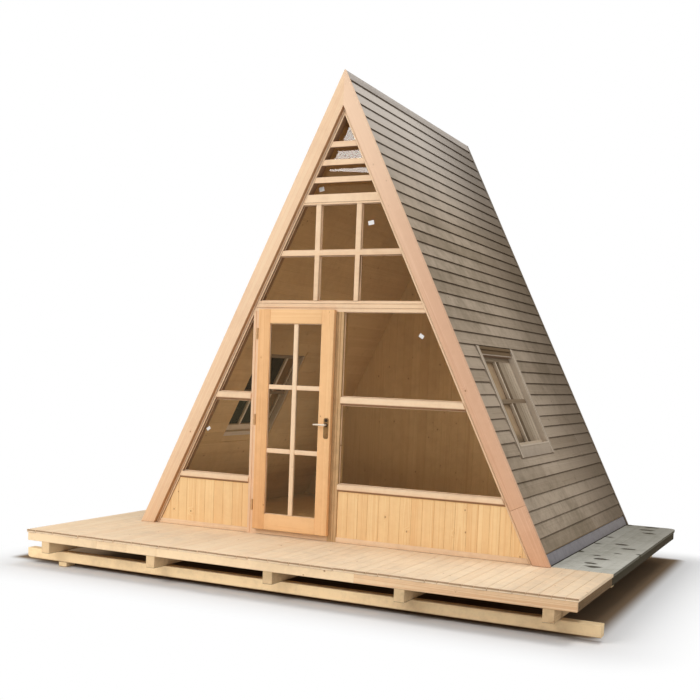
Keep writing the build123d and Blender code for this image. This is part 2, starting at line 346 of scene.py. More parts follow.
class Net:
    """Short ways to add nodes to one shader tree."""

    def __init__(self, tree):
        self.tree = tree

    def feed(self, made, links):
        """Joins a node's inputs to sockets, or sets their values."""
        for name, value in links.items():
            if isinstance(value, bpy.types.NodeSocket):
                self.tree.links.new(value, made.inputs[name])
            else:
                made.inputs[name].default_value = value

    def node(self, kind, links=None, **settings):
        """A node with its settings, and its inputs joined or set."""
        made = self.tree.nodes.new(kind)
        for name, value in settings.items():
            setattr(made, name, value)
        self.feed(made, links or {})
        return made

    def math(self, operation, *values, clamp=False):
        """One sum on numbers or sockets."""
        links = dict(enumerate(values))
        return self.node("ShaderNodeMath", links, operation=operation, use_clamp=clamp).outputs[0]

    def times(self, first, second, added=None, clamp=False):
        """Two values multiplied, and a third added to that."""
        if added is None:
            return self.math("MULTIPLY", first, second, clamp=clamp)
        return self.math("MULTIPLY_ADD", first, second, added, clamp=clamp)

    def total(self, whole, *others):
        """Values added up, one after another."""
        for value in others:
            whole = self.math("ADD", whole, value)
        return whole

    def vector(self, operation, *values):
        """One sum on vectors."""
        made = self.node("ShaderNodeVectorMath", dict(enumerate(values)), operation=operation)
        return made.outputs["Value" if operation == "LENGTH" else "Vector"]

    def scaled(self, vector, *factors):
        """A vector stretched by a factor on each axis."""
        return self.vector("MULTIPLY", vector, factors)

    def parts(self, vector):
        """The three parts of a vector."""
        return self.node("ShaderNodeSeparateXYZ", {0: vector}).outputs

    def joined(self, *parts):
        """A vector from three parts."""
        return self.node("ShaderNodeCombineXYZ", dict(enumerate(parts))).outputs[0]

    def place(self):
        """Where a point is in its own object."""
        return self.node("ShaderNodeTexCoord").outputs["Object"]

    def read(self, name, output="Fac"):
        """What a piece's points carry under this name."""
        return self.node("ShaderNodeAttribute", attribute_name=name).outputs[output]

    def mix(self, factor, first, second):
        """Two colours blended."""
        made = self.node("ShaderNodeMix", {0: factor, 6: first, 7: second},
                         data_type="RGBA", blend_type="MIX", clamp_factor=True)
        return made.outputs[2]

    def noise(self, vector, scale, detail=2.0, rough=0.5):
        """Soft noise, around a half."""
        links = {"Vector": vector, "Scale": scale, "Detail": detail, "Roughness": rough}
        return self.node("ShaderNodeTexNoise", links, noise_dimensions="3D").outputs["Fac"]

    def cells(self, vector, scale):
        """Flat cells: how far each point is from its cell's middle, and the cell's draws."""
        made = self.node("ShaderNodeTexVoronoi", {"Vector": vector, "Scale": scale},
                         voronoi_dimensions="2D", feature="F1")
        draws = self.node("ShaderNodeSeparateColor", {0: made.outputs["Color"]}).outputs
        return made.outputs["Distance"], draws

    def step(self, value, low, high, to_low=0.0, to_high=1.0):
        """A smooth step between two values."""
        links = {"Value": value, "From Min": low, "From Max": high,
                 "To Min": to_low, "To Max": to_high}
        made = self.node("ShaderNodeMapRange", links, interpolation_type="SMOOTHSTEP")
        return made.outputs["Result"]

    def relief(self, height, strength, distance):
        """The normal of a surface with this relief."""
        links = {"Height": height, "Strength": strength, "Distance": distance}
        return self.node("ShaderNodeBump", links).outputs["Normal"]

    def close(self, factor, first, second):
        """Ends the tree in a blend of two shaders."""
        blend = self.node("ShaderNodeMixShader", {
            0: factor, 1: first.outputs[0], 2: second.outputs[0]})
        self.feed(self.tree.nodes["Material Output"], {"Surface": blend.outputs[0]})


def new_group(name, inputs, outputs):
    """An empty node group with its sockets, and a way to add to it."""
    group = bpy.data.node_groups.new(name, "ShaderNodeTree")
    kinds = {"c": "NodeSocketColor", "f": "NodeSocketFloat", "v": "NodeSocketVector"}
    for way, sockets in (("INPUT", inputs), ("OUTPUT", outputs)):
        for label, kind in sockets.items():
            group.interface.new_socket(label, in_out=way, socket_type=kinds[kind])
    net = Net(group)
    return group, net, net.node("NodeGroupInput").outputs, net.node("NodeGroupOutput")


def new_material(name):
    """A material with a way to add nodes to it, and its Principled shader."""
    made = bpy.data.materials.new(name)
    made.use_nodes = True
    return made, Net(made.node_tree), made.node_tree.nodes["Principled BSDF"]


RINGS_IN_METRE = 210.0
KNOTS_IN_METRE = 7.0


def timber_figure():
    """Year rings, fibre and knots of a sawn board, from its own grain coordinates."""
    group, net, given, out = new_group(
        "timber_figure",
        dict(Grain="v", Tone="f", Light="c", Dark="c", Knot="c", Rings="f", Fibre="f",
             Knots="f", Spread="f"),
        dict(Color="c", Height="f"),
    )
    grain = given["Grain"]
    place = net.parts(grain)
    # knots lie on the face of a board, a few to a metre, each with its own size
    flat = net.joined(net.times(place[0], 0.75), place[1], 0.0)
    distance, draws = net.cells(flat, KNOTS_IN_METRE)
    picked = net.math("GREATER_THAN", given["Knots"], draws[0])
    reach = net.math("DIVIDE", distance, net.times(draws[1], 0.034, 0.022))
    knot = net.times(picked, net.step(reach, 0.5, 1.25, 1.0, 0.0))
    halo = net.times(picked, net.step(reach, 1.0, 5.0, 1.0, 0.0))
    # rings are shells round the pith, pushed aside by the knots
    sway = net.noise(net.scaled(grain, 0.9, 5.0, 5.0), 1.0)
    drift = net.noise(net.scaled(grain, 0.35, 1.2, 1.2), 1.0, 1.0)
    across = net.vector("LENGTH", net.joined(0.0, place[1], place[2]))
    radius = net.total(across, net.times(sway, 0.008), net.times(drift, 0.022),
                       net.times(halo, 0.008))
    turn = net.math("FRACT", net.times(radius, RINGS_IN_METRE))
    ring = net.times(net.step(turn, 0.25, 0.85), net.step(turn, 1.0, 0.9))
    # how far each point goes from the light colour to the dark one
    band = net.noise(net.scaled(grain, 0.4, 26.0, 26.0), 1.0, 2.0, 0.6)
    fibre = net.noise(net.scaled(grain, 5.0, 420.0, 420.0), 1.0, 2.0, 0.6)
    figure = net.total(
        net.times(ring, given["Rings"]),
        net.times(net.math("SUBTRACT", band, 0.42), net.times(given["Rings"], 1.7)),
        net.times(net.math("SUBTRACT", fibre, 0.5), given["Fibre"]),
        net.times(halo, 0.14),
    )
    tone = net.times(net.math("SUBTRACT", given["Tone"], 0.5), given["Spread"])
    figure = net.math("ADD", figure, tone, clamp=True)
    colour = net.mix(figure, given["Light"], given["Dark"])
    swirl = net.math("FRACT", net.times(distance, 70.0))
    deep = net.mix(net.times(swirl, 0.3), given["Knot"], (0.16, 0.075, 0.035, 1))
    colour = net.mix(net.times(knot, 0.75), colour, deep)
    height = net.math("SUBTRACT", net.times(fibre, 0.5), net.times(ring, 0.3))
    net.feed(out, {"Color": colour, "Height": net.total(height, net.times(knot, 0.25))})
    return group


def weathering():
    """Blotches of dirt over a finished colour."""
    group, net, given, out = new_group(
        "weathering", dict(Place="v", Color="c", Dirt="c", Amount="f", Scale="f"),
        dict(Color="c"),
    )
    wide = net.noise(given["Place"], given["Scale"], 5.0, 0.62)
    fine = net.noise(given["Place"], net.times(given["Scale"], 9.0), 3.0, 0.7)
    both = net.times(fine, 0.45, net.times(wide, 0.75))
    mask = net.times(net.step(both, 0.50, 0.82), given["Amount"], clamp=True)
    net.feed(out, {"Color": net.mix(mask, given["Color"], given["Dirt"])})
    return group


FIGURE = timber_figure()
WEATHER = weathering()


def weathered(net, place, colour, dirt, amount, scale):
    """A colour with dirt on it."""
    links = {"Place": place, "Color": colour, "Dirt": shade(*dirt), "Amount": amount,
             "Scale": scale}
    return net.node("ShaderNodeGroup", links, node_tree=WEATHER).outputs["Color"]


# ---- timber
KNOT = (165, 110, 70)
# the colour of painted shade on faces that look down
SHADED = (128, 88, 56)


def timber(name, light, dark, knot=KNOT, rings=0.35, fibre=0.25, knots=0.35, spread=0.35,
           dirt=(150, 130, 105), dirt_amount=0.25, dirt_scale=1.5, rough=0.62, bump=0.4,
           under=None, wear_and_shade=None, pale=None, back=None, spots=None):
    """A planed or sawn timber finish.

    Under is the colour of painted shade on what faces down, and spots are wide dark blotches.
    The mark ramp, pale and back each give where a colour starts, where it is full, how full,
    and the colour: the mark ramp paints wear, and on the cladding the shade under each lap;
    it goes by the points' mark, pale by the height and back by the place from front to back.
    """
    made, net, shader = new_material(name)
    place = net.place()
    figure = net.node("ShaderNodeGroup", {
        "Grain": net.read("grain", "Vector"), "Tone": net.read("tone"), "Light": shade(*light),
        "Dark": shade(*dark), "Knot": shade(*knot), "Rings": rings, "Fibre": fibre,
        "Knots": knots, "Spread": spread}, node_tree=FIGURE).outputs
    colour = weathered(net, place, figure["Color"], dirt, dirt_amount, dirt_scale)

    def ramped(ramp, value):
        start, full, amount, reached = ramp
        return net.mix(net.step(value, start, full, 0.0, amount), colour, shade(*reached))

    if pale:
        colour = ramped(pale, net.parts(place)[2])
    if back:
        colour = ramped(back, net.parts(place)[1])
    if spots:
        distance, draws = net.cells(net.scaled(place, 2.8, 4.2, 0.0), 1.0)
        reach = net.times(net.noise(place, 14.0, 3.0), 0.25, distance)
        reach = net.math("SUBTRACT", reach, net.times(draws[1], 0.20, 0.10))
        spot = net.times(net.step(reach, 0.02, 0.12, 0.9, 0.0),
                         net.math("GREATER_THAN", 0.70, draws[0]))
        colour = net.mix(spot, colour, shade(*spots))
    # painted shade: faces that look down are darkened towards the under colour
    if under:
        normal = net.node("ShaderNodeNewGeometry").outputs["Normal"]
        below = net.step(net.parts(normal)[2], -0.45, -0.12, 0.85, 0.0)
        colour = net.mix(below, colour, shade(*under))
    # the mark ramp: wear on most finishes, painted shade under each lap on the cladding
    if wear_and_shade:
        colour = ramped(wear_and_shade, net.times(net.noise(place, 30.0, 2.0), 0.16, net.read("mark")))
    net.feed(shader, {
        "Base Color": colour,
        "Roughness": net.times(figure["Height"], 0.18, rough),
        "Normal": net.relief(figure["Height"], bump, 0.0015),
        "Specular IOR Level": 0.15,
    })
    return made


BARGE_PINE = timber(
    "barge_pine", (248, 216, 180), (236, 190, 150), knots=0.10, dirt=(214, 170, 134),
    under=(178, 134, 96))
PINK_PINE = timber(
    "barge_pine_pink", (232, 190, 158), (212, 160, 127), knots=0.10, dirt=(200, 152, 118),
    under=(150, 104, 70), pale=(DECK + 1.8, RIDGE, 0.75, (255, 222, 190)))
FRAME_PINE = timber(
    "frame_pine", (214, 178, 132), (176, 134, 92), knots=0.2, dirt=(120, 92, 62),
    dirt_amount=0.3, under=SHADED)
RAIL_PINE = timber(
    "rail_pine", (252, 222, 186), (232, 188, 146), knots=0.2, dirt=(196, 150, 112),
    under=SHADED)
DOOR_PINE = timber(
    "door_pine", (252, 205, 151), (230, 168, 110), knots=0.25, spread=0.6,
    dirt=(206, 150, 100), under=SHADED)
PANEL_PINE = timber(
    "panel_pine", (255, 220, 166), (240, 190, 132), knots=0.30, rings=0.5,
    dirt=(222, 176, 124), wear_and_shade=(0.5, 1.1, 0.6, (170, 122, 76)))
LINING_PINE = timber(
    "lining_pine", (214, 180, 132), (190, 152, 104), (126, 86, 54), knots=0.25,
    dirt=(150, 116, 78))
DECK_PINE = timber(
    "deck_pine", (255, 230, 196), (242, 204, 164), knots=0.12, dirt=(214, 192, 166),
    dirt_amount=0.45, dirt_scale=1.1, under=SHADED, wear_and_shade=(0.38, 0.62, 0.85, (156, 122, 88)))
RIM_PINE = timber(
    "rim_pine", (252, 222, 180), (220, 166, 120), knots=0.15, spread=1.1,
    dirt=(206, 176, 140), dirt_amount=0.35, under=SHADED)
SAWN_PINE = timber(
    "sawn_pine", (252, 224, 177), (241, 197, 148), knots=0.2, dirt=(190, 160, 122),
    dirt_amount=0.4, rough=0.75, bump=0.8, under=SHADED)
# a darker copy of the sawn pine: painted shade on the joists and bearers under the deck
SHADED_JOIST_PINE = timber(
    "joist_pine_shaded", (230, 198, 154), (196, 158, 116), knots=0.25, dirt=(130, 108, 80),
    dirt_amount=0.4, rough=0.75, bump=0.8, under=(90, 70, 50))
GREY_DECK = timber(
    "grey_deck", (200, 198, 188), (178, 176, 166), (90, 86, 74), knots=0.0, spread=0.2,
    dirt=(140, 138, 122), dirt_amount=0.5, dirt_scale=1.6, rough=0.8, bump=0.8,
    wear_and_shade=(0.45, 0.9, 0.8, (84, 78, 62)), spots=(62, 58, 46),
    back=(FRONT + 0.3, BACK, 0.35, (84, 78, 62)))
# a dark finish that paints the shade on the deck's right side
RIM_SIDE_SHADE = timber(
    "rim_side_shade", (146, 116, 84), (74, 68, 56), (60, 54, 44), knots=0.1, spread=1.3,
    dirt=(74, 66, 50), dirt_amount=0.4, rough=0.85, bump=0.8)
# the cladding's under colour, mark ramp and back ramp are painted shade: on the butts that face
# down, in a strip under each lap, and as a soft shadow towards the back edge
CLAD_STAIN = timber(
    "clad_stain", (187, 169, 148), (150, 133, 112), (92, 76, 60), rings=0.3, knots=0.10,
    spread=0.9, dirt=(106, 96, 76), dirt_amount=0.55, dirt_scale=0.9, rough=0.7, bump=0.6,
    under=(84, 68, 50), wear_and_shade=(0.95, 1.05, 0.55, (92, 76, 58)),
    pale=(DECK + 2.7, RIDGE + 0.05, 1.0, (212, 203, 193)),
    back=(BACK - 2.1, BACK, 0.68, (74, 62, 48)))
CASING_STAIN = timber(
    "casing_stain", (180, 164, 146), (146, 130, 112), (100, 82, 64), rings=0.3, knots=0.1,
    spread=0.5, dirt=(120, 104, 84), dirt_amount=0.3, under=(120, 92, 70))
BEAD_STAIN = timber(
    "bead_stain", (212, 196, 176), (180, 162, 140), (110, 90, 70), rings=0.2, knots=0.0,
    spread=0.3, dirt=(150, 132, 112), dirt_amount=0.2)
SASH_STAIN = timber(
    "sash_stain", (216, 198, 174), (112, 92, 68), (80, 64, 48), rings=0.1, fibre=0.1,
    knots=0.0, spread=1.6, dirt=(120, 100, 78), dirt_amount=0.2)
RIDGE_STAIN = timber(
    "ridge_stain", (192, 184, 176), (166, 156, 146), (110, 96, 88), rings=0.25, knots=0.1,
    spread=0.3, dirt=(140, 130, 120), under=(84, 68, 50))


# ---- metal, glass and paper
def metal(name, colour, rough, spots, amount, metallic):
    """A metal with a fine brushed unevenness and duller spots."""
    made, net, shader = new_material(name)
    place = net.place()
    fine = net.noise(place, 160.0, 3.0, 0.7)
    net.feed(shader, {
        "Base Color": weathered(net, place, shade(*colour), spots, amount, 9.0),
        "Roughness": net.times(fine, 0.25, rough),
        "Normal": net.relief(fine, 0.15, 0.001),
        "Metallic": metallic,
    })
    return made


FLASHING = metal("flashing_grey", (147, 146, 153), 0.55, (104, 100, 106), 0.5, 0.1)
SEAL = metal("seal_black", (46, 42, 38), 0.7, (30, 28, 26), 0.3, 0.0)
BRONZE = metal("plate_bronze", (156, 122, 80), 0.40, (96, 74, 48), 0.5, 0.5)
DARK_BRONZE = metal("rose_bronze", (58, 44, 34), 0.35, (36, 28, 22), 0.4, 0.4)
LEVER_STEEL = metal("lever_steel", (236, 226, 212), 0.30, (180, 166, 150), 0.2, 0.4)
HINGE_BRASS = metal("hinge_brass", (222, 182, 136), 0.45, (160, 124, 86), 0.4, 0.3)


def clear_glass(name, low_tint, heights, high_tint):
    """Clear panes that let the lamps' light through, tinted by height."""
    made, net, shader = new_material(name)
    place = net.place()
    smear = net.noise(place, 1.6, 3.0, 0.6)
    net.feed(shader, {
        "Roughness": net.times(net.step(smear, 0.5, 0.8), 0.04),
        "Normal": net.relief(smear, 0.05, 0.002),
        "Base Color": net.mix(net.step(net.parts(place)[2], *heights),
                              (*low_tint, 1), (*high_tint, 1)),
        "Transmission Weight": 1.0,
        "IOR": 1.45,
    })
    passing = net.node("ShaderNodeLightPath").outputs["Is Shadow Ray"]
    through = net.node("ShaderNodeBsdfTransparent", {"Color": (0.90, 0.88, 0.84, 1)})
    net.close(passing, shader, through)
    return made


def view_painted_glass():
    """Panes with the dim view through them painted on: brown on the right, nearly black on the
    left.
    """
    made, net, shader = new_material("view_painted_glass")
    place = net.place()
    x, y, z = (net.parts(place)[axis] for axis in range(3))
    dust = net.noise(place, 7.0, 4.0, 0.6)
    foot = DECK + CASING_UP[0] * math.sin(SLOPE)
    brown = net.mix(dust, shade(146, 120, 90), shade(176, 150, 120))
    brown = net.mix(net.step(net.times(dust, 0.25, z), foot + 0.17, foot + 0.36),
                    shade(30, 24, 18), brown)
    black = net.mix(net.step(dust, 0.5, 0.9), (0.003, 0.003, 0.003, 1), shade(50, 42, 34))
    black = net.mix(net.step(y, FRONT + 1.12, FRONT + 1.14), black, shade(120, 92, 62))
    right = net.math("GREATER_THAN", x, 0.0)
    net.feed(shader, {
        "Base Color": net.mix(right, black, brown),
        "Roughness": net.times(dust, 0.15, 0.12),
        "Specular IOR Level": net.times(right, 0.35),
    })
    return made


def paper():
    """Blank paper squares left on the glass."""
    made, net, shader = new_material("blank_paper")
    fibre = net.noise(net.place(), 240.0, 3.0, 0.7)
    net.feed(shader, {
        "Base Color": net.mix(fibre, (0.80, 0.79, 0.76, 1), (0.90, 0.89, 0.87, 1)),
        "Roughness": net.times(fibre, 0.2, 0.6),
    })
    return made


CLEAR = clear_glass("clear_glass", (0.96, 0.94, 0.88), (0, RIDGE), (0.96, 0.94, 0.88))
DOOR_CLEAR = clear_glass("door_clear_glass", (0.98, 0.96, 0.90), (DECK + 0.7, DECK + 1.2),
                         (0.74, 0.72, 0.68))
PAINTED_PANES = view_painted_glass()
PAPER = paper()


# ---- deck
BOARDS = 52
PITCH = (DECK_HIGH.x - DECK_LOW.x) / BOARDS
CORNER = PITCH  # the radius of the back right corner
CHANGE = FRONT + 0.02  # where the grey boards of the right side begin
GREY_FROM = 1.90  # boards to the right of this are grey behind the change
RIM_THICK = 0.030
RIM_JOINTS = (-1.71, -1.39, -1.08, 0.76)


def deck_frame():
    """Packers, joists, bearers and ground beams, each with its sawn edges eased."""
    finish = (("packers", 0.004, SAWN_PINE), ("joists", 0.004, SHADED_JOIST_PINE),
              ("bearers", 0.003, SHADED_JOIST_PINE))
    for seed, (node, width, material) in enumerate(finish):
        boarded(node, "sawn", rounded(copied(node), width), seed, material)
    for seed, place in enumerate(("front", "middle", "back"), 20):
        node = f"ground_beam_{place}"
        bm = copied(node)
        low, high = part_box(node)
        # the left end is cut back below, both ends are worn round, and then the long edges
        rounded(bm, 0.038, 4, lambda middle, way: (
            middle.x < NEAR - high.x and abs(way.y) > 0.9 and middle.z < low.z + NEAR))
        rounded(bm, 0.016, 3, lambda middle, way: abs(middle.x) > high.x - NEAR)
        rounded(bm, 0.008, 2, along_axis(X))
        boarded(node, "sawn", bm, seed, SAWN_PINE)


def quarter(centre, radius, level):
    """Points round the back right corner, from the side to the back."""
    turns = [math.pi / 2 * step / 8 for step in range(9)]
    return [Vector((centre.x + math.cos(turn) * radius, centre.y + math.sin(turn) * radius, level))
            for turn in turns]


def rims():
    """The rims round the deck, in the lengths that they are pieced together from."""
    gap = 0.0006
    corner = Vector((DECK_HIGH.x - CORNER, DECK_HIGH.y - CORNER, 0))
    low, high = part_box("end_rims")
    places = (low.x, *RIM_JOINTS, high.x)
    parts = []
    for y_range in ((low.y, low.y + RIM_THICK), (high.y - RIM_THICK, high.y)):
        for start, end in zip(places, places[1:]):
            end = end if y_range[0] < 0 else min(end, corner.x)
            parts.append(rounded(bar((start + gap, end - gap), y_range, (low.z, high.z)), 0.002))
    boarded("end_rims", "pieced", gather(parts), 31, RIM_PINE,
            lambda centre, value: 0.15 + 0.25 * value if centre.x < 0 else 0.80)
    low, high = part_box("side_rims")
    z_range = (low.z, high.z)
    left = rounded(bar((low.x, low.x + RIM_THICK), (low.y, high.y), z_range), 0.003)
    piece("side_rim_new", add_grain(left, 32), DECK_PINE, replaced=("side_rims",))
    inside = high.x - RIM_THICK
    parts = [rounded(bar((inside, high.x), y_range, z_range), 0.003)
             for y_range in ((low.y, CHANGE - gap), (CHANGE + gap, corner.y))]
    bend = quarter(corner, high.x - corner.x, low.z)
    bend += quarter(corner, inside - corner.x, low.z)[::-1]
    parts.append(prism(bend, (0, 0, high.z - low.z)))
    # the right rim gets the dark finish of painted shade, darker still behind the change
    wear_and_shade = add_grain(gather(parts), 33, lambda centre, value: 0.6 if centre.y < CHANGE else 1.3)
    piece("side_rim_shaded", wear_and_shade, RIM_SIDE_SHADE)


def deck_boards():
    """Boards from front to back, with sawn ends that don't quite line up."""
    low, high = DECK_LOW, DECK_HIGH
    draw = random.Random(5)
    gap = 0.0012
    new, grey_boards = [], []
    for index in range(BOARDS):
        last = index == BOARDS - 1
        left = low.x + index * PITCH
        x_range = (left + (gap if index else 0), left + PITCH - (0 if last else gap))
        top = high.z - draw.uniform(0, 0.0006)
        front = low.y + draw.uniform(0, 0.009) * (index > 0)
        back = high.y - draw.uniform(0, 0.006) * (index > 0)
        runs = [(front, back)]
        if left > GREY_FROM:
            runs = [(front, CHANGE - gap), (CHANGE + gap, back)]
        for behind_change, y_range in enumerate(runs):
            if behind_change and last:
                centre = Vector((left, high.y - CORNER, 0))
                outline = [Vector((x, y_range[0], low.z)) for x in (left, high.x)]
                board = prism(outline + quarter(centre, CORNER, low.z), (0, 0, top - low.z))
            elif behind_change:
                board = bar((left, left + PITCH), y_range, (low.z, top))
            else:
                board = bar(x_range, y_range, (low.z, top))
            rounded(board, 0.0008 if behind_change else 0.0022)
            # pale boards carry a mark along their front ends, grey ones everywhere but on top
            marked(board, lambda place: float(
                place.z < top - 0.0005 if behind_change
                else place.y < front + 0.002 and place.z > high.z - 0.01))
            (grey_boards if behind_change else new).append(board)
    boarded("deck_boards", "new", gather(new), 41, DECK_PINE)
    piece("deck_boards_grey", add_grain(gather(grey_boards), 42), GREY_DECK)


# ---- roof
# how far up the slope each course starts; the ones above these share out what is left
COURSES = (0.118, 0.247, 0.370, 0.484, 0.600, 0.732, 0.850, 0.961, 1.081, 1.197, 1.304, 1.416,
           1.528, 1.645, 1.763, 1.881, 2.000)
UPPER_COURSE = 0.119
JOINED_SHARE = 0.6  # of the long boards, how many are pieced together
SHORTEST = 0.5
RIDGE_COVER = 0.085
LAP = 0.025
BUTT = 0.0115
TAPER = 0.0150


def lapped_board(side, start, end, top, y_range, clip=None):
    """One tapered board: thick at its lower edge, thin where the next one covers it."""
    full = top - start
    low, high = clip or (start, top)

    def outer(up):
        return up, -TAPER * (up - start) / full

    def inner(up):
        return up, -BUTT - (TAPER + 0.003 - BUTT) * (up - start) / full

    board = slope_prism(side, y_range, inner(low), inner(high), outer(high), outer(low))
    foot = on_slope(1, start, 0)
    # the mark goes from 0 at the board's foot to 1 at the foot of the next one, where the material
    # paints the shade under that lap
    return marked(board, lambda place: (
        (place.z - foot.z) * math.sin(SLOPE)
        + (foot.x - CENTRE - abs(place.x - CENTRE)) * math.cos(SLOPE)
    ) / (end - start))


def lapped_cladding(name, side):
    """The lapped boards of one slope, cut round the roof window's casing."""
    draw = random.Random(70 + side)
    last = SLOPE_LENGTH - RIDGE_COVER
    starts = list(COURSES)
    step = (last - starts[-1]) / round((last - starts[-1]) / UPPER_COURSE)
    while starts[-1] < last - 0.01:
        starts.append(starts[-1] + step)
    boards = []
    edge = 0.0015  # the gap where boards end
    room = 0.009  # and beside the casing
    window = (CASING_Y[0] - room, CASING_Y[1] + room)
    for start, end in zip(starts, starts[1:]):
        top = min(end + LAP, last + 0.01)
        lengths = [(FRONT + edge, BACK - edge)]
        if start < CASING_UP[1] and top > CASING_UP[0]:
            lengths = [(FRONT + edge, window[0]), (window[1], BACK - edge)]
            if start < CASING_UP[0] - 0.01:
                clip = (start, CASING_UP[0] - edge)
                boards.append(lapped_board(side, start, end, top, window, clip))
            if top > CASING_UP[1] + 0.01:
                clip = (max(start, CASING_UP[1] + edge), top)
                boards.append(lapped_board(side, start, end, top, window, clip))
        for low, high in lengths:
            joints = [low]
            if high - low > 1.2 and draw.random() < JOINED_SHARE:
                joints.append(draw.uniform(low + SHORTEST, high - SHORTEST))
            joints.append(high)
            for first, second in zip(joints, joints[1:]):
                y_range = (first + edge / 2, second - edge / 2)
                boards.append(lapped_board(side, start, end, top, y_range))
    boarded(f"cladding_{name}", "lapped", gather(boards), 50 + side, CLAD_STAIN,
            along=Y)


# bars of the roof windows: where each starts and ends, and how dark it is, which paints the shade
# that falls on it in the window's recess
UPRIGHTS = {
    "right": ((0.512, 0.557, 0.85), (0.945, 0.970, 0.05), (1.055, 1.168, 0.88),
              (1.176, 1.230, 0.80), (1.240, 1.314, 0.72), (1.326, 1.400, 0.60)),
    "left": ((0.512, 0.557, 0.85), (0.765, 0.795, 0.15), (1.120, 1.155, 0.10),
             (1.335, 1.345, 0.05)),
}
LEVELS = {
    "right": ((1.045, 1.080, 0.55), (1.868, 1.908, 0.95), (1.456, 1.496, 1.00)),
    "left": ((1.045, 1.110, 0.15), (1.868, 1.908, 0.95), (1.456, 1.496, 1.00)),
}
SASH_DEPTHS = ((-0.0745, -0.044), (-0.107, -0.0815))  # in front of the glass and behind it
HEAD_BOARD = 0.028


def window_frames(name, side):
    """Casing boards, liners, pale beads and the sash of one roof window."""
    up_low, up_high = CASING_UP
    y_low, y_high = CASING_Y
    hole_up = (up_low + CASING_WIDTH, up_high - CASING_WIDTH)
    hole_y = (y_low + CASING_WIDTH, y_high - CASING_WIDTH)
    face = (SHEATHING, 0.003)
    depth = (LINING, 0.001)
    bead = (0.0025, 0.006)
    thick = 0.012

    def shaped(width, segments, *bars):
        return [rounded(slope_bar(side, *ranges), width, segments) for ranges in bars]

    casing = shaped(
        0.003, 2,
        (CASING_UP, (y_low, hole_y[0]), face),
        (CASING_UP, (hole_y[1], y_high), face),
        ((up_low, SILL_UP), hole_y, face),
        (hole_up, (hole_y[0], hole_y[0] + thick), depth),
        ((hole_up[1] - thick, hole_up[1]), hole_y, (LINING, -0.009)),
    )
    pale = shaped(
        0.0008, 1,
        (hole_up, (hole_y[1] - thick, hole_y[1]), depth),
        ((hole_up[0], SILL_UP), hole_y, (LINING, SHEATHING - 0.001)),
        (CASING_UP, (hole_y[1], hole_y[1] + 0.016), bead),
        ((SILL_UP - 0.014, SILL_UP), hole_y, bead),
        (CASING_UP, (y_low, y_low + 0.020), bead),
    )
    in_up = (SILL_UP, hole_up[1] - thick)
    in_y = (hole_y[0] + thick + 0.002, hole_y[1] - thick - 0.002)
    change = up_high - HEAD_BOARD
    bars = [((change, up_high), hole_y, (SHEATHING, 0.001)),
            ((up_high - CASING_WIDTH, change), hole_y, (SHEATHING, -0.010))]
    # the head boards are the darkest: painted shade under the top of the casing
    tones = [1.2, 1.1]
    for outs in SASH_DEPTHS:
        thin = (outs[0] + 0.002, outs[1] - 0.002)
        for start, end, dark in UPRIGHTS[name]:
            bars.append((in_up, (FRONT + start, FRONT + end), thin))
            tones.append(dark)
        for start, end, dark in LEVELS[name]:
            bars.append(((start, end), in_y, outs))
            tones.append(dark)
    sash = shaped(0.002, 2, *bars)
    following = iter(tones)
    for layer, boards, seed, material, tone, replaced in (
            ("casing", casing, 80, CASING_STAIN, None, ("window_casings",)),
            ("beads", pale, 82, BEAD_STAIN, None, ()),
            ("sash", sash, 84, SASH_STAIN, lambda centre, value: next(following), ())):
        piece(f"window_{layer}_{name}", add_grain(gather(boards), seed + side, tone), material,
              replaced=replaced)


def lining(name, side):
    """The roof slab, with lining boards on its inside, cut round the window's hole."""
    node = f"roof_{name}"
    boards = [copied(node)]
    out = (LINING - 0.009, LINING - 0.0005)
    y_range = (FRONT + 0.095, BACK - 0.095)
    inset = CASING_WIDTH - 0.005
    hole_up = (CASING_UP[0] + inset, CASING_UP[1] - inset)
    hole_y = (CASING_Y[0] + inset, CASING_Y[1] - inset)
    wide = 0.115
    up = 0.13  # where the first board starts
    top = SLOPE_LENGTH - 0.42  # and where the last one ends
    while up < top:
        end = min(up + wide - 0.0006, top)
        runs = [y_range]
        if end > hole_up[0] and up < hole_up[1]:
            runs = [(y_range[0], hole_y[0]), (hole_y[1], y_range[1])]
        for run in runs:
            boards.append(rounded(slope_bar(side, (up, end), run, out), 0.0008, 1))
        up += wide
    boarded(node, "lined", gather(boards), 94 + side, LINING_PINE)


def flashings():
    """The folded metal strips along the foot of the slopes, and the dark seals at their feet."""
    piece("flashings_folded", rounded(copied("flashings"), 0.002), FLASHING,
          replaced=("flashings",))
    low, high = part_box("flashings")
    seals = [bar(x_range, (low.y, high.y), (DECK, DECK + 0.007))
             for x_range in ((low.x - 0.004, low.x + NEAR), (high.x - NEAR, high.x + 0.004))]
    piece("flashing_seals", gather(seals), SEAL)


# ---- front and back boards
def bargeboards():
    """The boards along the slopes' edges: planed at the front, stained at the back."""
    finish = (("front_left", BARGE_PINE), ("front_right", PINK_PINE), ("foot_right", PINK_PINE),
              ("back_left", CLAD_STAIN), ("back_right", CLAD_STAIN))
    for seed, (name, material) in enumerate(finish, 100):
        node = f"bargeboard_{name}"
        # the joint under the ridge stays sharp
        bm = rounded(copied(node), 0.004, 3, lambda middle, way: abs(middle.x - CENTRE) > 0.002)
        boarded(node, "planed", bm, seed, material)


def grooved(x_range, z_range, places, along=X, groove=0.005):
    """A frame member with grooves run along its face."""
    y_back = FRONT + MEMBER
    low, high = z_range if along is X else x_range
    line = [(y_back, low), (FRONT, low)]
    for place in sorted(places):
        line += [(FRONT, place - groove), (FRONT + groove, place - groove * 0.6),
                 (FRONT + groove, place + groove * 0.6), (FRONT, place + groove)]
    line += [(FRONT, high), (y_back, high)]
    if along is X:
        return prism([(x_range[0], y, z) for y, z in line], X * (x_range[1] - x_range[0]))
    return prism([(x, y, z_range[0]) for y, x in line], Z * (z_range[1] - z_range[0]))


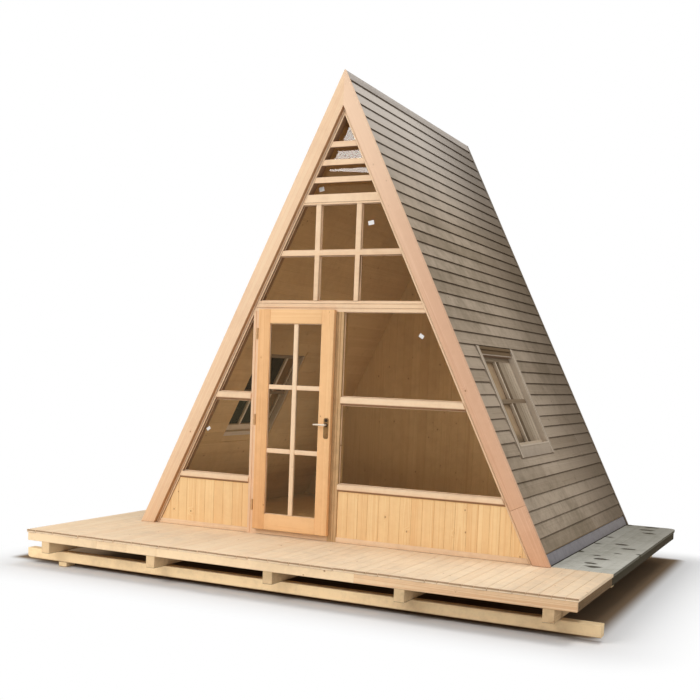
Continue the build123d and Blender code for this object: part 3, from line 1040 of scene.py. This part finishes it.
def front_frame():
    """Rafters, beams, jamb, post, rails and sole plates of the front wall."""
    step = FRONT + 0.005
    for name, side in SIDES:
        strips = [
            slope_band(side, (BARGE_DEPTH, BARGE_DEPTH + 0.014), (FRONT, step)),
            slope_band(side, (BARGE_DEPTH + 0.017, FRAME_DEPTH), (FRONT, step)),
            slope_band(side, (BARGE_DEPTH, FRAME_DEPTH), (step, FRONT + MEMBER)),
        ]
        for strip in strips:
            rounded(strip, 0.002)
        boarded(f"front_rafter_{name}", "planed", gather(strips), 110 + side, RAIL_PINE)
    for seed, (node, from_foot, from_head) in enumerate((
            ("main_beam", (0.030,), (0.024,)), ("collar_beam", (0.014,), ())), 120):
        low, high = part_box(node)
        places = [low.z + rise for rise in from_foot] + [high.z - drop for drop in from_head]
        beam = grooved((low.x - 0.05, high.x + 0.05), (low.z, high.z), places)
        boarded(node, "planed", under_roof(beam), seed, RAIL_PINE)
    low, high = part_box("door_post")
    wide = high.x - low.x
    places = (low.x + wide * 0.42, low.x + wide * 0.70)
    post = grooved((low.x, high.x), (low.z, high.z), places, Z)
    boarded("door_post", "planed", post, 122, FRAME_PINE)
    low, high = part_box("door_jamb")
    jamb = grooved((low.x, high.x), (low.z, high.z), (low.x + 0.030,), Z)
    boarded("door_jamb", "planed", under_roof(jamb, sides=(-1,)), 123, BARGE_PINE)
    for seed, node in enumerate(("mid_rails", "sill_rails"), 130):
        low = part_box(node)[0]
        bm = rounded(copied(node), 0.024, 5, lambda middle, way: (
            middle.y < low.y + NEAR and abs(way.x) > 0.9))
        boarded(node, "rounded", bm, seed, RAIL_PINE)
    for seed, node in enumerate(("sole_plates", "threshold"), 134):
        boarded(node, "planed", rounded(copied(node), 0.003), seed, RAIL_PINE)


def glazing_bars():
    """The bars of the upper window, and the deep ones of the pointed one with bevelled backs."""
    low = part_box("window_grid")[0]
    bm = rounded(copied("window_grid"), 0.006, 2, before(low.y + NEAR))
    boarded("window_grid", "planed", bm, 140, RAIL_PINE)
    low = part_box("gable_rails")[0]
    bm = copied("gable_rails")
    for rail in islands(bm):
        foot = min(vert.co.z for vert in rail)
        for vert in rail:
            if vert.co.z < foot + 0.01 and vert.co.y > low.y + 0.02:
                vert.co.z += 0.012
    rounded(bm, 0.005, 2, before(low.y + NEAR))
    boarded("gable_rails", "planed", bm, 141, RAIL_PINE)


def beads():
    """Thin beads that hold the upper and side panes, against the front of the glass."""
    for seed, node in enumerate(("glass_upper", "glass_sides"), 150):
        bm = copied(node)
        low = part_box(node)[0]
        others = [face for face in bm.faces
                  if face.normal.y > -0.9 or face.calc_center_median().y > low.y + NEAR]
        bmesh.ops.delete(bm, geom=others, context="FACES")
        panes = bm.faces[:]
        bmesh.ops.translate(bm, verts=bm.verts[:], vec=(0, -0.0006, 0))
        bmesh.ops.inset_individual(bm, faces=panes, thickness=0.007, use_even_offset=True)
        bmesh.ops.delete(bm, geom=panes, context="FACES")
        drawn_out(bm, bm.faces[:], (0, -0.009, 0))
        rounded(bm, 0.003, 2, before(low.y - 0.008))
        piece(f"{node}_beads", add_grain(bm, seed), RAIL_PINE)


PANEL_BOARD = 0.098


def panel_boards():
    """Tongued boards below the sills and on the back wall, each with its own edges eased."""
    low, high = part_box("back_wall")
    inside = low.y + 0.020
    for seed, (node, sides, layer, material, y_range) in enumerate((
            ("front_panel_left", (-1,), "boards", PANEL_PINE, None),
            ("front_panel_right", (1,), "boards", PANEL_PINE, None),
            ("back_wall", (-1, 1), "boards", PANEL_PINE, (inside, high.y)),
            ("back_wall", (-1, 1), "lining", LINING_PINE, (low.y, inside)))):
        low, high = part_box(node)
        draw = random.Random(160 + seed)
        x = low.x
        boards = []
        while x < high.x - 0.01:
            wide = min(draw.uniform(0.9, 1.12) * PANEL_BOARD, high.x - x)
            board = bar((x, x + wide), y_range or (low.y, high.y), (low.z, high.z))
            rounded(board, 0.003, 1, along_axis(Z))
            left, right = x + 0.0015, x + wide - 0.0015
            marked(board, lambda place: float(not left < place.x < right))
            under_roof(board, BARGE_DEPTH if node == "back_wall" else FRAME_DEPTH, sides)
            if board.faces:
                boards.append(board)
            x += wide
        boarded(node, layer, gather(boards), 170 + seed, material, along=Z)


def cabin_floor():
    """Floor boards inside, from front to back."""
    low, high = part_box("cabin_floor")
    count = 30
    gap = 0.001  # half of it on each side of a joint
    wide = (high.x - low.x) / count
    boards = []
    for index in range(count):
        left = low.x + index * wide
        board = bar((left + gap, left + wide - gap), (low.y, high.y), (low.z, high.z))
        under_roof(rounded(board, 0.002, 1), -LINING)
        if board.faces:
            boards.append(board)
    boarded("cabin_floor", "boards", gather(boards), 180, LINING_PINE)


# ---- door
LEAF_LOW, LEAF_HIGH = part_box("door_stiles")
PLATE = 0.004  # how far the handle's plates stand out
REACH = 0.048  # how far its levers do
LEVER = 0.112  # how long they are


def door():
    """Stiles, rails, glazing bars and beads of the door leaf."""
    middle = (LEAF_LOW.x + LEAF_HIGH.x) / 2
    boarded("door_stiles", "planed", rounded(copied("door_stiles"), 0.004, 3), 201, DOOR_PINE,
            lambda centre, value: 0.95 if centre.x < middle else 0.45, body="door")
    boarded("door_rails", "planed", rounded(copied("door_rails"), 0.003, 2), 203, DOOR_PINE,
            lambda centre, value: 0.2, body="door")
    low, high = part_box("door_glass")
    faces = ((LEAF_LOW.y + 0.006, low.y), (high.y, LEAF_HIGH.y - 0.006))
    centre = (low.x + high.x) / 2 + 0.004
    upright = (centre - 0.022, centre + 0.022)
    levels = ((DECK + 0.755, DECK + 0.798), (DECK + 1.333, DECK + 1.376))
    bars = []
    for y_range in faces:
        bars.append(bar(upright, y_range, (low.z, high.z)))
        inner = (y_range[0] + 0.001, y_range[1] - 0.001)
        for level in levels:
            bars.append(bar((low.x, upright[0]), inner, level))
            bars.append(bar((upright[1], high.x), inner, level))
    for shape in bars:
        rounded(shape, 0.007, 2, lambda middle, way: (
            middle.y < faces[0][0] + 0.002 or middle.y > faces[1][1] - 0.002))
    strip = 0.005
    ends = ((low.x, low.x + strip), (high.x - strip, high.x))
    between = ((ends[0][1], upright[0]), (upright[1], ends[1][0]))
    for y_range in faces:
        inner = (y_range[0] + 0.004, y_range[1] - 0.004)
        ring = [bar(x_range, inner, (low.z, high.z)) for x_range in ends]
        ring += [bar(x_range, inner, z_range)
                 for z_range in ((low.z, low.z + strip), (high.z - strip, high.z))
                 for x_range in between]
        bars += [rounded(shape, 0.002, 2) for shape in ring]
    piece("door_bars", add_grain(gather(bars), 207), RAIL_PINE, body="door")


def lathe(outline, place, way):
    """A turned shape from (radius, height) points, laid along Y in the way given."""
    bm = bmesh.new()
    line = [bm.verts.new((radius, -height, 0)) for radius, height in outline]
    for first, second in zip(line, line[1:]):
        bm.edges.new((first, second))
    bmesh.ops.spin(bm, geom=bm.verts[:] + bm.edges[:], axis=(0, 1, 0), cent=(0, 0, 0),
                   angle=math.tau, steps=32, use_merge=True, use_duplicate=False)
    bmesh.ops.remove_doubles(bm, verts=bm.verts[:], dist=TINY)
    bmesh.ops.scale(bm, vec=(1, -way, 1), verts=bm.verts[:])
    bmesh.ops.translate(bm, verts=bm.verts[:], vec=place)
    bmesh.ops.recalc_face_normals(bm, faces=bm.faces[:])
    return bm


def handle():
    """The handle's plate, neck, lever and lock on both faces of the leaf."""
    low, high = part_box("door_handle")
    x = LEAF_HIGH.x - 0.039
    middle = (low.z + high.z) / 2
    axle = middle + 0.030
    plates, roses, levers = [], [], []
    for face, way in ((LEAF_LOW.y, -1), (LEAF_HIGH.y, 1)):
        def turned(height, *outline):
            return lathe([(0, PLATE), *outline], (x, face, height), way)

        plate = bar((x - 0.024, x + 0.024), sorted((face, face + way * PLATE)),
                    (middle - 0.093, middle + 0.093))
        rounded(plate, 0.018, 6, along_axis(Y))
        rounded(plate, 0.0012, 2, lambda place, run: abs(place.y - face) > 0.003)
        lock = turned(middle - 0.050, (0.011, PLATE), (0.011, 0.0112), (0.010, 0.012), (0, 0.012))
        rose = turned(axle, (0.017, PLATE), (0.017, 0.009), (0.015, 0.011), (0, 0.011))
        upper = turned(middle + 0.070, (0.015, PLATE), (0.015, 0.007), (0.013, 0.009), (0, 0.009))
        neck = turned(axle, (0.009, PLATE), (0.0085, 0.030), (0.009, 0.046), (0, REACH))
        reach = face + way * REACH
        lever = bar((x - LEVER, x + 0.009), sorted((reach, reach - way * 0.014)),
                    (axle - 0.010, axle + 0.010))
        rounded(lever, 0.006, 4)
        for vert in lever.verts:
            part = max(0.0, min(1.0, (x - vert.co.x) / LEVER))
            vert.co.z = axle + (vert.co.z - axle) * (1 - 0.35 * part)
        plates += [plate, lock]
        roses += [rose, upper]
        levers += [neck, lever]
    piece("handle_plates", gather(plates), BRONZE, body="door",
          replaced=("door_handle",), smooth=40)
    piece("handle_roses", gather(roses), DARK_BRONZE, body="door", smooth=40)
    piece("handle_levers", gather(levers), LEVER_STEEL, body="door", smooth=40)


LABELS = (
    # pane, across from the ridge line, height above the deck, turn in degrees, width, height
    ("glass_gable", -0.240, 3.120, -12, 0.050, 0.038),
    ("glass_upper", 0.277, 2.806, -10, 0.054, 0.036),
    ("glass_sides", 0.788, 1.839, 32, 0.044, 0.032),
    ("glass_sides", -1.319, 0.936, -35, 0.042, 0.028),
)


def labels():
    """Blank paper squares on the front panes."""
    parts = []
    for node, across, height, turn, wide, tall in LABELS:
        bm = bar((-wide / 2, wide / 2), (-0.0008, -0.0002), (-tall / 2, tall / 2))
        place = Matrix.Translation((CENTRE + across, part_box(node)[0].y, DECK + height))
        turned = Matrix.Rotation(math.radians(turn), 4, "Y")
        bmesh.ops.transform(bm, matrix=place @ turned, verts=bm.verts[:])
        parts.append(bm)
    piece("blank_labels", gather(parts), PAPER)


deck_frame()
rims()
deck_boards()
for slope_name, slope_side in SIDES:
    lapped_cladding(slope_name, slope_side)
    window_frames(slope_name, slope_side)
    lining(slope_name, slope_side)
boarded("ridge_cap", "boards", rounded(copied("ridge_cap"), 0.003), 60, RIDGE_STAIN)
flashings()
bargeboards()
front_frame()
glazing_bars()
beads()
panel_boards()
cabin_floor()
door()
handle()
refinished(CLEAR, "glass_gable", "glass_upper", "glass_sides")
refinished(DOOR_CLEAR, "door_glass")
refinished(PAINTED_PANES, "window_glass")
refinished(HINGE_BRASS, "hinges_frame", "hinges_door")
labels()


# ---- floor, light and camera
AMBIENT = 0.52  # how strongly the surround lights the cabin
MIRRORED = 1.25  # how bright it shows in the glass
LAMPS = (
    # name, place, size, energy, spread in degrees, aimed at, whether it is mirrored
    ("front_lamp", (-6.5, -13.0, 9.5), (7.0, 7.0), 1000.0, 180, (0, -0.5, 1.6), True),
    ("top_lamp", (4.5, 0.5, 12.5), (4.0, 4.0), 400.0, 180, (0, -0.5, 1.6), True),
    ("room_lamp", (CENTRE, 0.2, DECK + 0.3), (2.0, 2.0), 12.0, 180, (CENTRE, 0.2, RIDGE), False),
    ("low_lamp", (-1.2, -3.9, 0.10), (4.4, 0.12), 1.1, 16, (-1.2, -2.0, 0.09), False),
)


def floor():
    """A pale floor that keeps the shadow, with painted brown shade under the deck, white away from
    the cabin.
    """
    bm = bmesh.new()
    bmesh.ops.create_grid(bm, x_segments=2, y_segments=2, size=60)
    material, net, shader = new_material("pale_floor")
    made = placed("floor", meshed("floor", bm, material))
    path = net.node("ShaderNodeLightPath").outputs
    place = net.place()

    def outside(middle, half):
        beyond = net.vector("ABSOLUTE", net.vector("SUBTRACT", place, middle))
        beyond = net.vector("SUBTRACT", beyond, half)
        return net.vector("LENGTH", net.vector("MAXIMUM", beyond, (0.0, 0.0, 0.0)))

    away = net.step(outside((0, 0, 0), (cad_high.x - 0.10, cad_high.y - 0.10, 0)), 0.0, 0.8)
    # painted shadow: brown under the deck, for the camera only
    below = net.times(path["Is Camera Ray"], net.step(
        outside((-0.175, 0.175, 0), (2.65, 2.00, 0)), 0.0, 0.15, 1.0, 0.0))
    away = net.times(away, net.math("SUBTRACT", 1.0, below))
    net.feed(shader, {
        "Base Color": net.mix(below, (0.88, 0.88, 0.88, 1), shade(132, 112, 90)),
        "Roughness": 0.9,
        "Specular IOR Level": 0.0,
    })
    mirrored = path["Is Glossy Ray"]
    glow = net.node("ShaderNodeEmission", {
        "Color": net.mix(mirrored, WHITE, shade(248, 228, 180)),
        "Strength": net.times(mirrored, -0.45, 1.0)})
    seen = net.times(away, path["Is Camera Ray"], mirrored, clamp=True)
    net.close(seen, shader, glow)


def lights():
    """An even surround, two wide soft lamps, one in the room and a low one before the deck."""
    world = bpy.data.worlds.new("studio")
    bpy.context.scene.world = world
    world.use_nodes = True
    net = Net(world.node_tree)
    path = net.node("ShaderNodeLightPath").outputs
    direct = net.math("ADD", path["Is Camera Ray"], path["Is Transmission Ray"], clamp=True)
    strength = net.times(direct, 1.0 - AMBIENT, AMBIENT)
    way = net.node("ShaderNodeTexCoord").outputs["Generated"]
    # what mirrors the surround sees it dimmer near the ground
    extra = net.step(net.parts(way)[2], 0.0, 0.12, 0.70 * MIRRORED - AMBIENT,
                     MIRRORED - AMBIENT)
    net.feed(world.node_tree.nodes["Background"], {
        "Color": net.mix(path["Is Glossy Ray"], WHITE, shade(174, 151, 118)),
        "Strength": net.times(path["Is Glossy Ray"], extra, strength),
    })
    for name, place, size, energy, spread, aimed, mirrored in LAMPS:
        lamp = bpy.data.lights.new(name, "AREA")
        lamp.shape = "RECTANGLE"
        lamp.size, lamp.size_y = size
        lamp.energy = energy
        lamp.spread = math.radians(spread)
        holder = placed(name, lamp)
        holder.location = place
        aim = Vector(aimed) - Vector(place)
        holder.rotation_euler = aim.to_track_quat("-Z", "Y").to_euler()
        if not mirrored:
            holder.visible_camera = False
            holder.visible_glossy = False
            holder.visible_transmission = False


def camera():
    """The camera stands to the right of the front, at about a person's height."""
    yaw, pitch, roll = 0.4602, -0.0740, 0.0381
    focal = 1073.3 / 700  # for a frame one wide
    ahead = Vector((-math.sin(yaw) * math.cos(pitch), math.cos(yaw) * math.cos(pitch),
                    math.sin(pitch)))
    level = Vector((math.cos(yaw), math.sin(yaw), 0))
    upright = level.cross(ahead)
    right = level * math.cos(roll) + upright * math.sin(roll)
    top = upright * math.cos(roll) - level * math.sin(roll)
    lens = bpy.data.cameras.new("camera")
    lens.sensor_width = 36.0
    lens.lens = focal * lens.sensor_width
    lens.shift_x, lens.shift_y = 0.0330, 0.1475
    lens.clip_end = 200
    made = placed("camera", lens)
    place = Matrix.Translation((CENTRE + 4.1733, FRONT - 8.5197, DECK + 1.4923))
    made.matrix_world = place @ Matrix((right, top, -ahead)).transposed().to_4x4()
    bpy.context.scene.camera = made


floor()
lights()
camera()
bpy.context.scene.view_settings.view_transform = "Standard"
